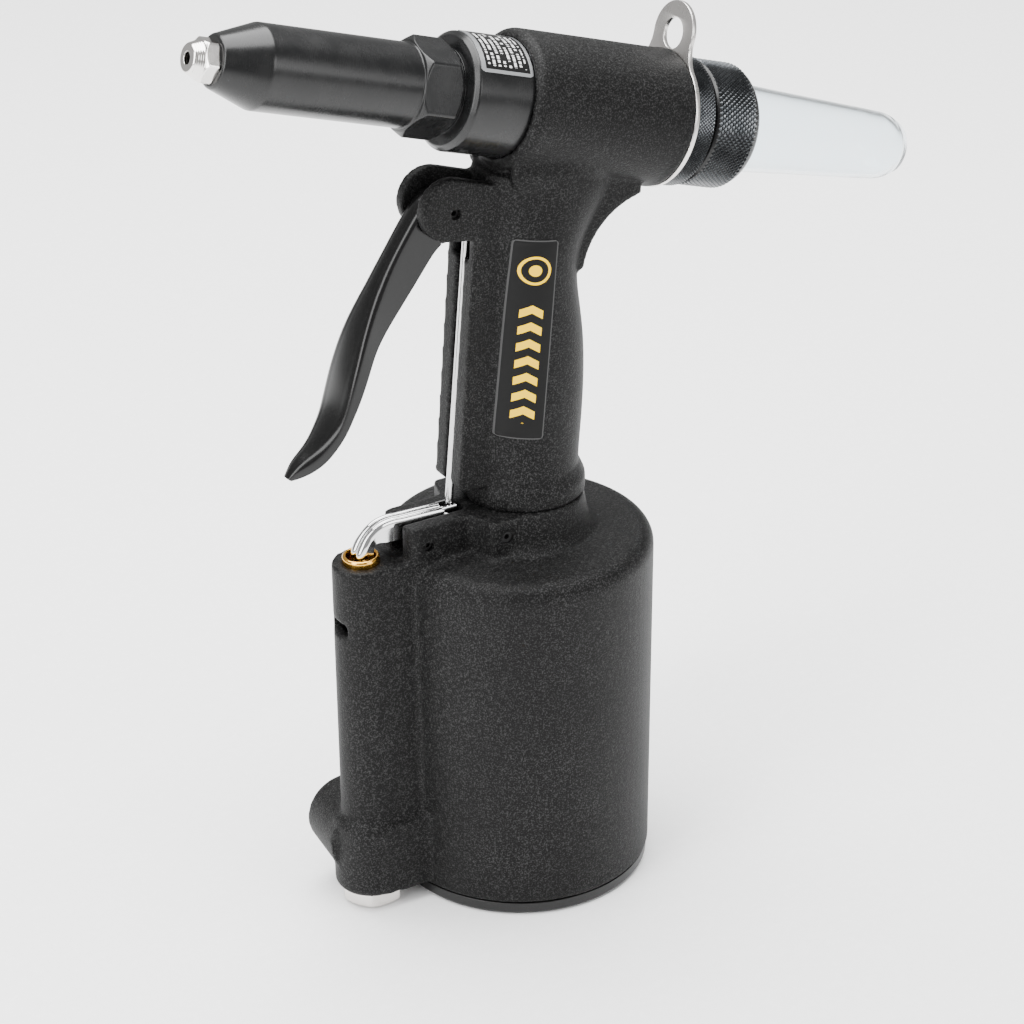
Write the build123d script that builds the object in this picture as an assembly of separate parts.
"""Air-over-oil rivet gun: tilted pulling head, grip with trigger, round air cylinder as its foot.

Frame: origin at the middle of the foot's underside, +Z up the air cylinder, nose towards -X.
Head pieces are drawn along +X about their own axis and then put in place by in_head().
A station is a distance along that axis, zero where it crosses the cylinder's axis.
"""
from build123d import *
from math import cos, radians, sin, sqrt
import os

os.makedirs("parts", exist_ok=True)

# ---- head ----
head_height = 247.5
head_tilt = 17.0
barrel_radius = 19.8
barrel_front = -4.5
barrel_rear = 49.0
barrel_bore = 13.5
ring_radius = 16.7
ring_front = -23.3
ring_rear = 1.5
rod_radius = 6.0
sleeve_radius = 11.8
sleeve_bore = 8.2
sleeve_front = -96.0
nose_tip = -103.1
mandrel_radius = 1.75
piston_front = 8.0
piston_length = 10.0
hanger_thickness = 1.4
cap_flange_front = 50.6
cap_flange_rear = 57.2
collar_front = 58.5
collar_rear = 75.0
collector_end = 140.5

# ---- grip, clevis and trigger ----
seam_height = 126.2
foot_radius = 18.5
foot_centre = 2.0
lean = 5.7 / 68.3
fin_front_at_200 = -18.3
trigger_pivot_x = -23.4
trigger_pivot_z = 220.5
trigger_pin_radius = 1.6
trigger_wall = 1.5
clevis_half_width = 7.9
slot_half_width = 4.2
rod_wire = 1.2
rod_foot_x = -23.8
rod_foot_z = 122.8
rod_eye_x = -14.9
rod_eye_z = 221.0

# ---- foot: air cylinder and valve ----
base_radius = 40.0
base_top = 113.5
base_draft = 0.8
base_bore = 37.2
cap_height = 4.5
ceiling = 104.0
hub_radius = 19.6
ram_radius = 7.0
gland_radius = 12.0
valve_x = -53.0
valve_radius = 8.7
valve_top = 116.2
valve_bottom = 5.5
valve_bore = 5.2
valve_foot_radius = 11.3
valve_foot_top = 30.0
inlet_z = 21.0
inlet_face = 20.0
inlet_radius = 11.5
inlet_thread = 5.9
inlet_drill = 3.5
rocker_x = -34.7
rocker_z = 119.5
rocker_pin_radius = 1.5
cheek_half_width = 8.7
rocker_slot = 3.0

running_gap = 0.05
free_gap = 0.3
head_place = Location((0, 0, head_height), (0, head_tilt, 0))


def in_head(shape):
    """Carry a piece drawn about +X to the tilted head axis."""
    return head_place * shape


def turned(*outline):
    """A solid turned about +X; outline points are (station, radius)."""
    return revolve(make_face(Polyline(*outline, close=True)), Axis.X)


def sleeve(inner, outer, start, stop):
    """A plain tube about +X."""
    return turned((start, inner), (stop, inner), (stop, outer), (start, outer))


def upright(*outline, x=0.0, y=0.0):
    """A solid turned about a vertical axis through x, y; outline points are (radius, height)."""
    face = Plane.XZ * make_face(Polyline(*outline, close=True))
    return Pos(x, y, 0) * revolve(face, Axis.Z)


def column(inner, outer, bottom, top, x=0.0):
    """A plain upright tube or, with no inner radius, a post."""
    return upright((inner, bottom), (outer, bottom), (outer, top), (inner, top), x=x)


def slab(outline, half_width, offset=0.0):
    """A side-view outline of (x, z) points made a slab across the symmetry plane."""
    face = Plane.XZ * make_face(Polyline(*outline, close=True))
    return Pos(0, offset, 0) * extrude(face, half_width, both=True)


def block(low, high):
    """A box between two corners."""
    size = [b - a for a, b in zip(low, high)]
    return Pos(*[(a + b) / 2 for a, b in zip(low, high)]) * Box(*size)


def cross_hole(radius, x, z, low=-30.0, high=30.0):
    """A round bar across the symmetry plane, for pins and their holes."""
    return Pos(x, (low + high) / 2, z) * Rot(90, 0, 0) * Cylinder(radius, high - low)


def roll_pin(radius, x, z, half_length):
    """A slotted spring pin rolled from sheet."""
    bar = cross_hole(radius, x, z, -half_length, half_length)
    hollow = cross_hole(radius * 0.55, x, z)
    slit = block((x - 0.2, -half_length - 1, z), (x + 0.2, half_length + 1, z + radius + 1))
    return bar - hollow - slit


def hexagon(across_flats, start, stop):
    """A hexagonal bar about +X with one corner at the side."""
    face = Plane.YZ * RegularPolygon(across_flats / 2, 6, major_radius=False)
    return Pos(start, 0, 0) * extrude(face, stop - start)


def coil(radius, wire, start, stop, turns):
    """A coil spring drawn upwards from height start to height stop."""
    length = stop - start - wire * 2
    path = Helix(pitch=length / turns, height=length, radius=radius)
    section = Plane(origin=path @ 0, z_dir=path % 0) * Circle(wire)
    return Pos(0, 0, start + wire) * sweep(section, path=path, is_frenet=True)


def along_head(shape):
    """Lay an upright piece down along +X before it goes to the head."""
    return Rot(0, 90, 0) * shape


# ---- head pieces ----


def nosepiece():
    tip = turned((nose_tip, 0), (nose_tip, 3.9), (nose_tip + 0.3, 4.2), (-99.6, 5.3), (-99.6, 0))
    bar = hexagon(11.0, -100.6, sleeve_front)
    corners = turned((-100.6, 0), (-100.6, 5.1), (-99.0, 6.36), (sleeve_front, 6.36), (sleeve_front, 0))
    shank = turned((sleeve_front, 0), (sleeve_front, 3.4), (-88.2, 3.4), (-87.5, 2.8), (-87.5, 0))
    hole = sleeve(0, mandrel_radius, nose_tip - 1, -80)
    return tip + (bar & corners) + shank - hole


def nose_sleeve():
    front = turned(
        (sleeve_front, 0), (sleeve_front, 6.9), (sleeve_front + 0.4, 7.3), (-83.5, sleeve_radius),
        (-36.6, sleeve_radius), (-36.6, 0))
    nut = Rot(17, 0, 0) * hexagon(24.6, -36.6, -25.0)
    corners = turned((-36.6, 0), (-36.6, 12.5), (-35.0, 14.2), (-26.2, 14.2), (-25.0, 13.0), (-25.0, 0))
    neck = turned((-25.0, 0), (-25.0, 11.6), (ring_front, 11.6), (ring_front, 10.6), (-8.0, 10.6), (-8.0, 0))
    thread = sleeve(0, 3.4 + running_gap, sleeve_front - 1, -85)
    chamber = turned((-88.0, 0), (-86.0, sleeve_bore), (-7.0, sleeve_bore), (-7.0, 0))
    return front + (nut & corners) + neck - thread - chamber


def head_ring():
    return turned(
        (ring_front, 10.7), (ring_front, 15.4), (-22.0, ring_radius), (ring_rear, ring_radius),
        (ring_rear, rod_radius + running_gap), (-0.4, rod_radius + running_gap), (-0.4, 8.5), (-3.6, 8.5),
        (-3.6, rod_radius + running_gap), (-6.0, rod_radius + running_gap), (-7.5, 10.7))


def rating_plate():
    """A thin plate bent round the head ring, from just past its top down the near side."""
    skin = sleeve(ring_radius + 0.02, ring_radius + 0.27, -21.7, barrel_front - 0.1)
    span = 67.0
    lowest = 55.0
    wedge_points = [(0, 0)]
    for step in range(5):
        angle = radians(lowest - span * step / 4)
        wedge_points.append((-30 * sin(angle), 30 * cos(angle)))
    face = Plane.YZ * make_face(Polyline(*wedge_points, close=True))
    return skin & (Pos(-40, 0, 0) * extrude(face, 60))


def head_piston():
    """Piston and draw rod in one, bored for the mandrel tube."""
    rear = piston_front + piston_length
    disc = turned(
        (piston_front, 0), (piston_front, 13.4), (piston_front + 3.4, 13.4), (piston_front + 3.4, 11.3),
        (piston_front + 6.6, 11.3), (piston_front + 6.6, 13.4), (rear, 13.4), (rear, 0))
    rod = turned((-46.0, 0), (-46.0, 5.4), (-45.4, rod_radius), (piston_front, rod_radius), (piston_front, 0))
    return disc + rod - sleeve(0, 3.65, -60, 60)


def piston_seal():
    return sleeve(11.35, 13.45, piston_front + 3.5, piston_front + 6.5)


def rod_seal():
    return sleeve(rod_radius + 0.02, 8.45, -3.5, -0.5)


def mandrel_tube():
    return sleeve(2.9, 3.6, -34.0, 56.0)


def jaw_cone(radius_at_front):
    """Outline points of the cone that closes the jaws, from the front back to the widest place."""
    return (-86.0, radius_at_front), (-70.0, radius_at_front + 4.2)


def jaw_case():
    front_cone, wide = jaw_cone(2.4)
    shell = turned(
        (-86.0, 0), (-86.0, 6.4), (-84.5, 7.9), (-38.0, 7.9), (-38.0, 0))
    hollow = turned(
        (front_cone[0] - 1, 0), (front_cone[0] - 1, front_cone[1]), front_cone, wide,
        (-46.0, wide[1]), (-46.0, rod_radius + running_gap), (-37.0, rod_radius + running_gap), (-37.0, 0))
    return shell - hollow


def jaw(index):
    """One of three wedges that grip the mandrel."""
    front_cone, wide = jaw_cone(2.4 - free_gap)
    slope = (wide[1] - front_cone[1]) / (wide[0] - front_cone[0])
    start = -82.5
    stop = -70.6
    cone = turned(
        (start, 0), (start, front_cone[1] + slope * (start - front_cone[0])),
        (stop, front_cone[1] + slope * (stop - front_cone[0])), (stop, 0))
    cone -= sleeve(0, 1.45, -90, -60)
    half = radians(58.0)
    wedge = Plane.YZ * make_face(Polyline((0, 0), (-20 * sin(half), 20 * cos(half)), (0, 26),
                                          (20 * sin(half), 20 * cos(half)), close=True))
    piece = cone & (Pos(-90, 0, 0) * extrude(wedge, 40))
    return Rot(120 * index, 0, 0) * piece


def jaw_pusher():
    return turned(
        (-70.2, 1.9), (-70.2, 3.0), (-67.5, 5.6), (-60.0, 5.6), (-60.0, 3.4), (-54.0, 3.4), (-54.0, 1.9))


def jaw_spring():
    return along_head(coil(4.7, 0.6, -59.8, -46.2, 6))


def return_spring():
    return along_head(coil(9.6, 1.0, piston_front + piston_length + 0.2, 44.8, 5))


def rear_cap():
    """Screwed end of the barrel, with the fine-knurled grip ring and the collector's boss."""
    return turned(
        (45.0, 3.9), (45.0, 13.4), (cap_flange_front, 13.4), (cap_flange_front, 18.6),
        (cap_flange_front + 0.4, 19.0), (cap_flange_rear - 0.4, 19.0), (cap_flange_rear, 18.6),
        (cap_flange_rear, 11.8), (66.0, 11.8), (66.0, 3.9))


def gap_seal():
    return sleeve(11.85, 16.9, cap_flange_rear + 0.05, collar_front - 0.05)


def hanger():
    """Flat plate clamped behind the barrel, with an eye on top."""
    eye_height = 24.7
    eye_radius = 9.4
    ring_outer = 20.0
    ring_plate = Circle(ring_outer)
    eye_plate = Pos(0, eye_height) * Circle(eye_radius)
    neck = make_face(Polyline((-16.0, 12.0), (-11.2, 17.4), (-8.9, 21.8), (8.9, 21.8), (11.2, 17.4), (16.0, 12.0),
                              close=True))
    plate = ring_plate + eye_plate + neck - Circle(13.48) - Pos(0, eye_height) * Circle(4.5)
    solid = extrude(Plane.YZ * plate, hanger_thickness)
    return Pos(barrel_rear + 0.1, 0, 0) * Rot(-4, 0, 0) * solid


def collector_collar():
    """Coarse-knurled ring that screws on the rear boss and holds the tube's flange."""
    return turned(
        (collar_front, 11.88), (collar_front, 17.5), (collar_front + 0.8, 18.3), (72.2, 18.3),
        (73.8, 17.7), (collar_rear, 16.2), (collar_rear, 13.6), (70.2, 13.6), (70.2, 14.6), (67.0, 14.6),
        (67.0, 11.88))


def collector_tube():
    """Clear tapered bottle that catches the spent mandrels."""
    wall = 1.3
    flange = 14.5
    mouth = 13.1
    end_radius = 10.0
    round_radius = 6.0
    shoulder = collector_end - round_radius
    core = end_radius - round_radius
    bend = round_radius * sin(radians(45))
    outer = [
        Line((67.1, mouth - wall), (67.1, flange)), Line((67.1, flange), (70.1, flange)),
        Line((70.1, flange), (70.1, mouth)), Line((70.1, mouth), (shoulder, end_radius)),
        ThreePointArc((shoulder, end_radius), (shoulder + bend, core + bend), (collector_end, core)),
        Line((collector_end, core), (collector_end, 0)), Line((collector_end, 0), (collector_end - 2 * wall, 0)),
        Line((collector_end - 2 * wall, 0), (collector_end - 2 * wall, core)),
        ThreePointArc((collector_end - 2 * wall, core), (shoulder + bend - 1.6 * wall, core + bend - wall),
                      (shoulder - wall, end_radius - wall)),
        Line((shoulder - wall, end_radius - wall), (67.1, mouth - wall))]
    return revolve(make_face(outer), Axis.X)


# ---- handle casting ----


def fin_front(z):
    """Forward face of the grip's front rib, which leans with the grip."""
    return fin_front_at_200 + (z - 200.0) * lean


def grip_core(extra=0.0):
    """Oval grip, lofted through its waist, palm swell and neck; extra grows it all round."""
    stations = [
        (129.0, 1.8, 17.8, 17.5), (139.0, 1.6, 17.0, 16.8), (150.0, 2.3, 17.4, 16.6), (164.0, 3.1, 17.3, 16.5),
        (178.0, 3.4, 16.4, 16.3), (192.0, 3.1, 14.9, 16.1), (204.0, 4.0, 15.4, 16.0), (229.0, 6.5, 18.0, 16.0)]
    sections = []
    for height, middle, half_x, half_y in stations:
        sections.append(Pos(middle, 0, height) * Ellipse(half_x + extra, half_y + extra))
    return loft(sections)


def front_rib():
    low = seam_height + 6.8
    outline = [(fin_front(low) + 2.2, low), (fin_front(low) + 0.2, low + 2.2), (fin_front(212), 212), (-6, 212),
               (-12, low)]
    rib = slab(outline, 7.5)
    channel = slab([(-40, low - 9), (fin_front(low - 9) + 3.8, low - 9), (fin_front(214) + 3.8, 214), (-40, 214)],
                   1.8)
    return rib, channel


def clevis():
    """Two cheeks for the trigger, one slab before its slot is cut."""
    nose = cross_hole(9.25, -25.0, 221.8, -clevis_half_width, clevis_half_width)
    edge = [
        Line((-26.7, 212.7), (-5.0, 209.0)), Line((-5.0, 209.0), (-5.0, 231.5)), Line((-5.0, 231.5), (-6.6, 230.0)),
        ThreePointArc((-6.6, 230.0), (-8.8, 227.4), (-12.0, 227.2)), Line((-12.0, 227.2), (-22.2, 230.6)),
        Line((-22.2, 230.6), (-26.7, 212.7))]
    arm = extrude(Plane.XZ * make_face(edge), clevis_half_width, both=True)
    return nose + arm


def rear_web():
    """Concave web from the back of the grip up to the barrel's underside."""
    edge = [
        Line((5.0, 193.0), (16.6, 196.5)), ThreePointArc((16.6, 196.5), (22.6, 208.3), (36.0, 215.4)),
        Line((36.0, 215.4), (36.0, 228.0)), Line((36.0, 228.0), (5.0, 228.0)), Line((5.0, 228.0), (5.0, 193.0))]
    return extrude(Plane.XZ * make_face(edge), 11.0, both=True)


def body_casting():
    barrel = in_head(turned(
        (barrel_front, 0), (barrel_front, 17.9), (barrel_front + 1.9, barrel_radius), (46.0, barrel_radius),
        (48.2, 20.1), (barrel_rear, 20.1), (barrel_rear, 0)))
    foot = upright((0, seam_height), (foot_radius, seam_height), (foot_radius, 131.0), (17.0, 134.5), (0, 134.5),
                   x=foot_centre)
    rib, channel = front_rib()
    solid = barrel + grip_core() + foot + rib + clevis() + rear_web()
    solid -= channel
    solid -= block((-40, -slot_half_width, 204), (-11.0, slot_half_width, 240))
    solid -= in_head(sleeve(0, ring_radius + running_gap, barrel_front - 20, ring_rear))
    solid -= in_head(sleeve(0, barrel_bore, ring_rear - 1, barrel_rear + 5))
    solid -= column(0, gland_radius + running_gap, seam_height - 1, 140)
    solid -= column(0, 8.0, 139, 214)
    solid -= column(0, 2.5, 213, 236)
    solid -= cross_hole(trigger_pin_radius + 0.02, trigger_pivot_x, trigger_pivot_z)
    return solid


def grip_label():
    """Thin label that follows the near side of the grip."""
    frame = Pos(-4.2, -17, 180) * Rot(0, 5.5, 0) * Box(12.2, 12, 61)
    skin = grip_core(0.22) - grip_core(0.02)
    return skin & frame


# ---- trigger and its linkage ----


def trigger_side(shift_x=0.0, shift_z=0.0, reach=0.0):
    """Side view of the trigger: front sweep, rear edge of its flanges and the boss round the pivot."""
    front = [(-34.1, 220.8), (-46.5, 202.0), (-55.6, 182.5), (-60.8, 167.0), (-67.2, 157.4), (-76.0, 149.8)]
    rear = [(-74.4, 148.3), (-64.4, 154.6), (-57.0, 167.0), (-49.6, 182.8), (-38.0, 197.2), (-28.0, 209.7)]
    front = [(x + shift_x, z + shift_z) for x, z in front]
    rear = [(x + reach, z + shift_z - reach * 0.3) for x, z in rear]
    low_back = (-14.4 + reach, 212.2)
    back = (-12.6 + reach, 218.0)
    top_back = (-12.6 + reach, 223.0)
    top = (-27.5 + shift_x, 226.0 + shift_z)
    edge = [
        Spline(*front), Line(front[-1], rear[0]), Spline(*rear), Line(rear[-1], low_back),
        Line(low_back, back), Line(back, top_back), Line(top_back, top), Line(top, front[0])]
    return extrude(Plane.XZ * make_face(edge), 12.0, both=True)


def trigger_front(inset=0.0):
    """Front view: narrow in the clevis, a broad paddle for the fingers, then a pointed tip."""
    side = [(4.2, 206.0), (5.3, 199.0), (7.3, 188.0), (7.8, 176.0), (6.9, 164.5), (3.6, 154.6)]
    half = [(y - inset, z) for y, z in side]
    other = [(-y, z) for y, z in reversed(half)]
    tip_width = 1.1 if inset == 0 else 1.6
    tip_z = 148.0 if inset == 0 else 153.8
    narrow = 3.9 - inset
    edge = [
        Line((-narrow, 230.0), (narrow, 230.0)), Line((narrow, 230.0), (narrow, 210.0)),
        Line((narrow, 210.0), half[0]), Spline(*half), Line(half[-1], (tip_width, tip_z)),
        Line((tip_width, tip_z), (-tip_width, tip_z)), Line((-tip_width, tip_z), other[0]), Spline(*other),
        Line(other[-1], (-narrow, 210.0)), Line((-narrow, 210.0), (-narrow, 230.0))]
    return Pos(-100, 0, 0) * extrude(Plane.YZ * make_face(edge), 100.0)


def trigger():
    """Pressed steel lever of U section."""
    outer = trigger_side() & trigger_front()
    hollow = trigger_side(trigger_wall * 0.95, -trigger_wall * 0.6, 20.0) & trigger_front(trigger_wall)
    shell = outer - hollow
    shell -= cross_hole(trigger_pin_radius + 0.06, trigger_pivot_x, trigger_pivot_z)
    shell -= cross_hole(1.1, rod_eye_x, rod_eye_z)
    return shell


def link_pin():
    """Cross pin of the trigger that the pull rod hangs on."""
    return cross_hole(1.1, rod_eye_x, rod_eye_z, -3.85, 3.85)


def trigger_pin():
    return roll_pin(trigger_pin_radius, trigger_pivot_x, trigger_pivot_z, 6.2)


def rod_direction():
    """Unit vector up the pull rod."""
    run = rod_eye_x - rod_foot_x
    rise = rod_eye_z - rod_foot_z
    length = sqrt(run * run + rise * rise)
    return run / length, rise / length, length


def pull_rod():
    """Straight wire with an eye for the link pin and a button below the rocker."""
    across, up, length = rod_direction()
    axis = Plane(origin=(rod_foot_x, 0, rod_foot_z), x_dir=(up, 0, -across), z_dir=(across, 0, up))
    wire = extrude(axis * Circle(rod_wire), length - 2.0)
    button = extrude(axis * Circle(2.2), 1.3)
    eye = cross_hole(2.5, rod_eye_x - 0.45, rod_eye_z, -1.9, 1.9)
    eye += cross_hole(2.5, rod_eye_x + 0.45, rod_eye_z, -1.9, 1.9)
    window = cross_hole(1.25, rod_eye_x - 0.95, rod_eye_z) + cross_hole(1.25, rod_eye_x + 0.1, rod_eye_z)
    window += block((rod_eye_x - 0.95, -3, rod_eye_z - 1.25), (rod_eye_x + 0.1, 3, rod_eye_z + 1.25))
    return wire + button + eye - window


def rocker_lever():
    """Chromed rocker: rear fork on the pull rod, front leg bent down into the valve bushing."""
    bend_x = -45.3
    bend_z = 118.6
    outer = 9.7
    half = 2.4
    edge = [
        Line((-22.0, bend_z + outer), (bend_x, bend_z + outer)),
        ThreePointArc((bend_x, bend_z + outer),
                      (bend_x - outer * sin(radians(45)), bend_z + outer * cos(radians(45))),
                      (bend_x - outer, bend_z)),
        Line((bend_x - outer, bend_z), (-54.7, 112.9)), Line((-54.7, 112.9), (-52.1, 112.4)),
        Line((-52.1, 112.4), (-50.3, bend_z)), Line((-50.3, bend_z), (-49.5, 122.0)),
        Line((-49.5, 122.0), (-39.4, 120.6)), Line((-39.4, 120.6), (-37.6, 118.6)),
        ThreePointArc((-37.6, 118.6), (rocker_x, rocker_z - 3.1), (-31.8, 118.6)),
        Line((-31.8, 118.6), (-28.0, 124.4)), Line((-28.0, 124.4), (-22.0, 126.2)),
        Line((-22.0, 126.2), (-22.0, bend_z + outer))]
    solid = extrude(Plane.XZ * make_face(edge), half, both=True)
    solid -= cross_hole(rocker_pin_radius + 0.06, rocker_x, rocker_z)
    solid -= block((-26.6, -1.55, 120), (-20, 1.55, 130))
    return solid


def rocker_pin():
    return roll_pin(rocker_pin_radius, rocker_x, rocker_z, 7.0)


# ---- foot: air cylinder, valve and ram ----


def cylinder_shell():
    """Round cylinder with a rounded shoulder, flat top and the hub that carries the grip."""
    round_radius = 5.3
    rim = base_radius + base_draft
    bend = round_radius * (1 - cos(radians(45)))
    edge = [
        Line((0, cap_height), (base_radius, cap_height)),
        Line((base_radius, cap_height), (rim, base_top - round_radius)),
        ThreePointArc((rim, base_top - round_radius), (rim - bend, base_top - bend), (rim - round_radius, base_top)),
        Line((rim - round_radius, base_top), (23.5, 114.6)), Line((23.5, 114.6), (21.4, 117.0)),
        Line((21.4, 117.0), (hub_radius, seam_height)), Line((hub_radius, seam_height), (0, seam_height)),
        Line((0, seam_height), (0, cap_height))]
    return revolve(Plane.XZ * make_face(edge), Axis.Z)


def rocker_bracket():
    """Cheeks for the rocker, and the flat-sided boss behind them on each side of the hub."""
    cheeks = block((-41.2, -cheek_half_width, 108.0), (-14.0, cheek_half_width, seam_height))
    cheeks = fillet([e for e in cheeks.edges().filter_by(Axis.Z) if e.center().X < -40], 2.6)
    plan = [(-21.6, 8.0), (-18.6, 17.8), (-8.6, 17.8), (-2.0, 8.0)]
    pads = None
    for side in (-1, 1):
        face = Pos(0, 0, 108.0) * make_face(Polyline(*[(x, side * y) for x, y in plan], close=True))
        pad = extrude(face, seam_height - 108.0)
        pads = pad if pads is None else pads + pad
    return cheeks, pads


def valve_body():
    """Upright valve tube and the web that joins it to the cylinder."""
    tube = column(0, valve_radius, valve_bottom, valve_top, x=valve_x)
    web = block((valve_x, -valve_radius, valve_bottom + 0.5), (-36.0, valve_radius, valve_top - 0.6))
    stout = upright((0, valve_bottom), (valve_foot_radius - 1.2, valve_bottom),
                    (valve_foot_radius, valve_bottom + 1.6), (valve_foot_radius, valve_foot_top - 1.0),
                    (valve_radius, valve_foot_top + 1.2), (0, valve_foot_top + 1.2), x=valve_x)
    stout_web = block((valve_x, -11.2, valve_bottom + 0.5), (-36.0, 11.2, valve_foot_top))
    return tube + web + stout + stout_web


def inlet_boss():
    """Conical boss for the air line, facing +Y."""
    face = make_face(Polyline((0, 0), (13.4, 0), (inlet_radius + 0.2, inlet_face - 1.0),
                              (inlet_radius - 0.8, inlet_face), (0, inlet_face), close=True))
    boss = revolve(face, Axis.Y)
    return Pos(valve_x, 0, inlet_z) * boss


def base_casting():
    cheeks, pads = rocker_bracket()
    solid = cylinder_shell() + cheeks + pads + valve_body() + inlet_boss()
    solid -= column(0, base_bore, cap_height - 1, ceiling)
    solid -= column(0, gland_radius + running_gap, ceiling - 1, seam_height + 1)
    solid -= column(0, valve_bore, valve_bottom - 1, valve_top + 20, x=valve_x)
    solid -= block((-43.0, -rocker_slot, 114.8), (-19.6, rocker_slot, seam_height + 1))
    solid -= cross_hole(rocker_pin_radius + 0.02, rocker_x, rocker_z)
    solid -= cross_hole(inlet_thread, valve_x, inlet_z, 7.0, inlet_face + 1)
    solid -= cross_hole(inlet_drill, valve_x, inlet_z, 0.0, 8.0)
    solid -= block((-64.0, -4.1, 94.2), (valve_x, 4.1, 98.6))
    port = Pos(-44.0, 0, 72.0) * Rot(0, 90, 0) * Cylinder(2.5, 18)
    solid -= port
    solid -= cross_hole(1.9, -13.7, 120.9, -20, -12.6)
    return solid


def base_cap():
    """Screwed bottom cover, dished for the ram nut, with two holes for a pin spanner."""
    cap = upright(
        (0, 0), (38.6, 0), (39.4, 0.8), (39.4, cap_height - 0.1), (37.1, cap_height - 0.1), (37.1, 6.2),
        (35.6, 6.2), (35.6, 8.6), (37.1, 8.6), (37.1, 10.5), (15.0, 10.5), (15.0, 3.0), (0, 3.0))
    for side in (-1, 1):
        cap -= Pos(side * 26.0, 0, 1.2) * Cylinder(2.5, 2.6)
    return cap


def cap_seal():
    return revolve(Plane.XZ * (Pos(36.35, 7.4) * Circle(0.75)), Axis.Z)


def air_piston():
    return upright(
        (5.05, 12.0), (36.7, 12.0), (36.7, 15.0), (33.6, 15.0), (33.6, 19.0), (36.7, 19.0), (36.7, 22.0),
        (12.0, 22.0), (12.0, 24.0), (5.05, 24.0))


def piston_ring():
    return column(33.7, 37.15, 15.1, 18.9)


def ram():
    """Polished ram with a shank through the air piston."""
    return upright((0, 5.4), (5.0, 5.4), (5.0, 24.05), (ram_radius, 24.05), (ram_radius, 149.0), (6.0, 150.0),
                   (0, 150.0))


def ram_nut():
    nut = extrude(Pos(0, 0, 6.6) * RegularPolygon(8.5, 6, major_radius=False), 5.35)
    return nut - column(0, 5.05, 0, 20)


def ram_gland():
    """Hollow bolt that clamps the cylinder to the grip and guides the ram."""
    return upright(
        (ram_radius + running_gap, 99.6), (16.0, 99.6), (16.0, ceiling - 0.05), (gland_radius, ceiling - 0.05),
        (gland_radius, 139.5), (9.3, 139.5), (9.3, 129.0), (ram_radius + running_gap, 129.0))


def gland_seal():
    return column(ram_radius + 0.02, 9.25, 129.1, 132.6)


def stop_sleeve():
    """Tube that stops the air piston at the top of its stroke."""
    return column(17.0, 22.0, 73.0, ceiling - 0.05)


def valve_bushing():
    return upright(
        (4.35, 104.0), (valve_bore - 0.02, 104.0), (valve_bore - 0.02, valve_top), (5.6, valve_top), (5.6, 118.1),
        (5.25, 118.45), (4.6, 118.45), (4.35, 118.2), x=valve_x)


def valve_stem():
    """Spool with two grooved lands, a button for the rocker and a spring seat."""
    outline = [(0, 36.0), (4.5, 36.0), (4.5, 39.0), (2.5, 40.0)]
    for low in (58.0, 84.0):
        outline += [(2.5, low), (4.9, low), (4.9, low + 2.0), (3.5, low + 2.0), (3.5, low + 4.0), (4.9, low + 4.0),
                    (4.9, low + 6.0), (2.5, low + 6.0)]
    outline += [(2.5, 109.0), (3.6, 109.0), (3.6, 111.4), (3.0, 111.9), (0, 111.9)]
    return upright(*outline, x=valve_x)


def valve_orings():
    rings = []
    for low in (58.0, 84.0):
        ring = revolve(Plane.XZ * (Pos(4.3, low + 3.0) * Circle(0.78)), Axis.Z)
        rings.append(Pos(valve_x, 0, 0) * ring)
    return Compound(children=[ring.solid() for ring in rings])


def valve_spring():
    return Pos(valve_x, 0, 0) * coil(3.8, 0.5, 15.6, 35.8, 7)


def valve_plug():
    head = extrude(Pos(valve_x, 0, 0.6) * RegularPolygon(8.5, 6, major_radius=False), valve_bottom - 0.65)
    corners = upright((0, 0), (8.6, 0.6), (9.8, 1.6), (9.8, 5.5), (0, 5.5), x=valve_x)
    thread = column(0, valve_bore - 0.03, valve_bottom - 0.1, 15.4, x=valve_x)
    recess = column(0, 2.6, 8.0, 16.0, x=valve_x)
    return (head & corners) + thread - recess


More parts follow.
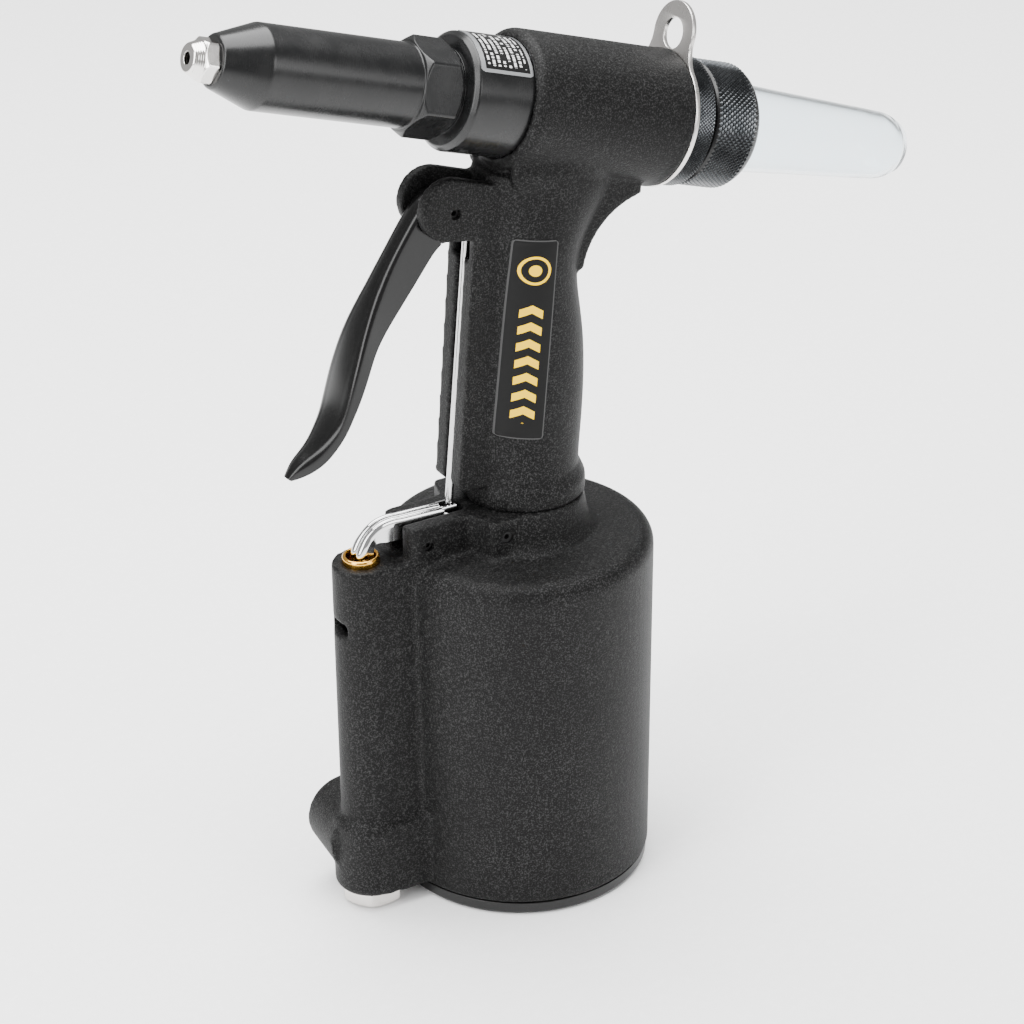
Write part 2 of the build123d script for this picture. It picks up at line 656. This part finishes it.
def lock_screw():
    """Socket set screw in the near boss, which stops the grip from turning."""
    screw = cross_hole(1.85, -13.7, 120.9, -16.9, -12.7)
    socket = Pos(-13.7, -16.9, 120.9) * Rot(90, 0, 0) * extrude(RegularPolygon(0.9, 6), 1.6, both=True)
    return screw - socket


def inlet_screen():
    """Sintered strainer plug in the narrow end of the air inlet."""
    return cross_hole(inlet_drill - 0.05, valve_x, inlet_z, 5.0, 6.0)


pieces = {
    "nosepiece": in_head(nosepiece()),
    "nose_sleeve": in_head(nose_sleeve()),
    "head_ring": in_head(head_ring()),
    "rating_plate": in_head(rating_plate()),
    "head_piston": in_head(head_piston()),
    "piston_seal": in_head(piston_seal()),
    "rod_seal": in_head(rod_seal()),
    "mandrel_tube": in_head(mandrel_tube()),
    "jaw_case": in_head(jaw_case()),
    "jaw_top": in_head(jaw(0)),
    "jaw_near": in_head(jaw(1)),
    "jaw_far": in_head(jaw(2)),
    "jaw_pusher": in_head(jaw_pusher()),
    "jaw_spring": in_head(jaw_spring()),
    "return_spring": in_head(return_spring()),
    "rear_cap": in_head(rear_cap()),
    "gap_seal": in_head(gap_seal()),
    "hanger": in_head(hanger()),
    "collector_collar": in_head(collector_collar()),
    "collector_tube": in_head(collector_tube()),
    "body_casting": body_casting(),
    "grip_label": grip_label(),
    "trigger": trigger(),
    "link_pin": link_pin(),
    "trigger_pin": trigger_pin(),
    "pull_rod": pull_rod(),
    "rocker_lever": rocker_lever(),
    "rocker_pin": rocker_pin(),
    "base_casting": base_casting(),
    "base_cap": base_cap(),
    "cap_seal": cap_seal(),
    "air_piston": air_piston(),
    "piston_ring": piston_ring(),
    "ram": ram(),
    "ram_nut": ram_nut(),
    "ram_gland": ram_gland(),
    "gland_seal": gland_seal(),
    "stop_sleeve": stop_sleeve(),
    "valve_bushing": valve_bushing(),
    "valve_stem": valve_stem(),
    "valve_orings": valve_orings(),
    "valve_spring": valve_spring(),
    "valve_plug": valve_plug(),
    "lock_screw": lock_screw(),
    "inlet_screen": inlet_screen(),
}
for node, shape in pieces.items():
    export_step(shape, f"parts/{node}.step")
